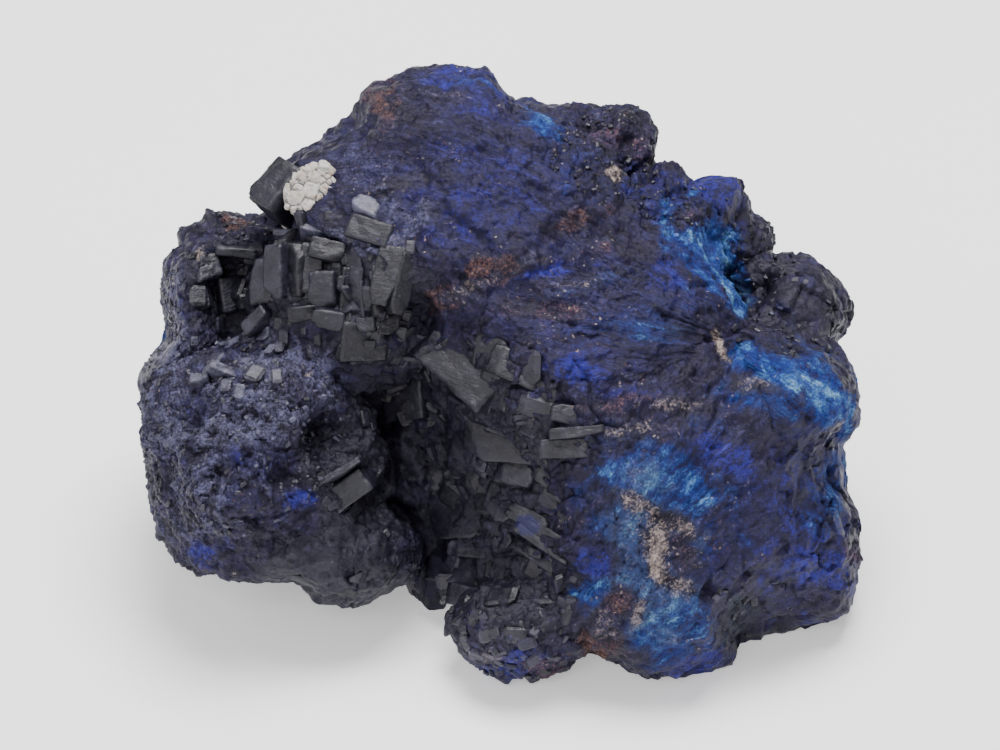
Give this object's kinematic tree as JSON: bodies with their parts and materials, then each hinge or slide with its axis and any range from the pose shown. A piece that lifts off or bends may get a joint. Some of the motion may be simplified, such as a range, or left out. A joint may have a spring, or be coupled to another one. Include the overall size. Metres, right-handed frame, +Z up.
{
  "type": "azurite specimen",
  "caption": "Hand-sized natural azurite cluster: intergrown dark blue lobes with blocky crystals and ledges, cut off flat to rest upright.",
  "frame": {"origin": "centre of the footprint box, on the flat base plane that the specimen rests on", "axes": "+Z up; -Y is the front, the side with the prow, the ledges and the bright azure patches; +X is to the right seen from the front, along the longest side"},
  "size_m": [0.0716, 0.0538, 0.0488],
  "materials": {
    "azurite": "dark blue to near-black, vitreous to half-matt, with bright azure, rust and cream patches"
  },
  "bodies": {
    "root": {"azurite_specimen": "azurite"}
  },
  "joints": []
}
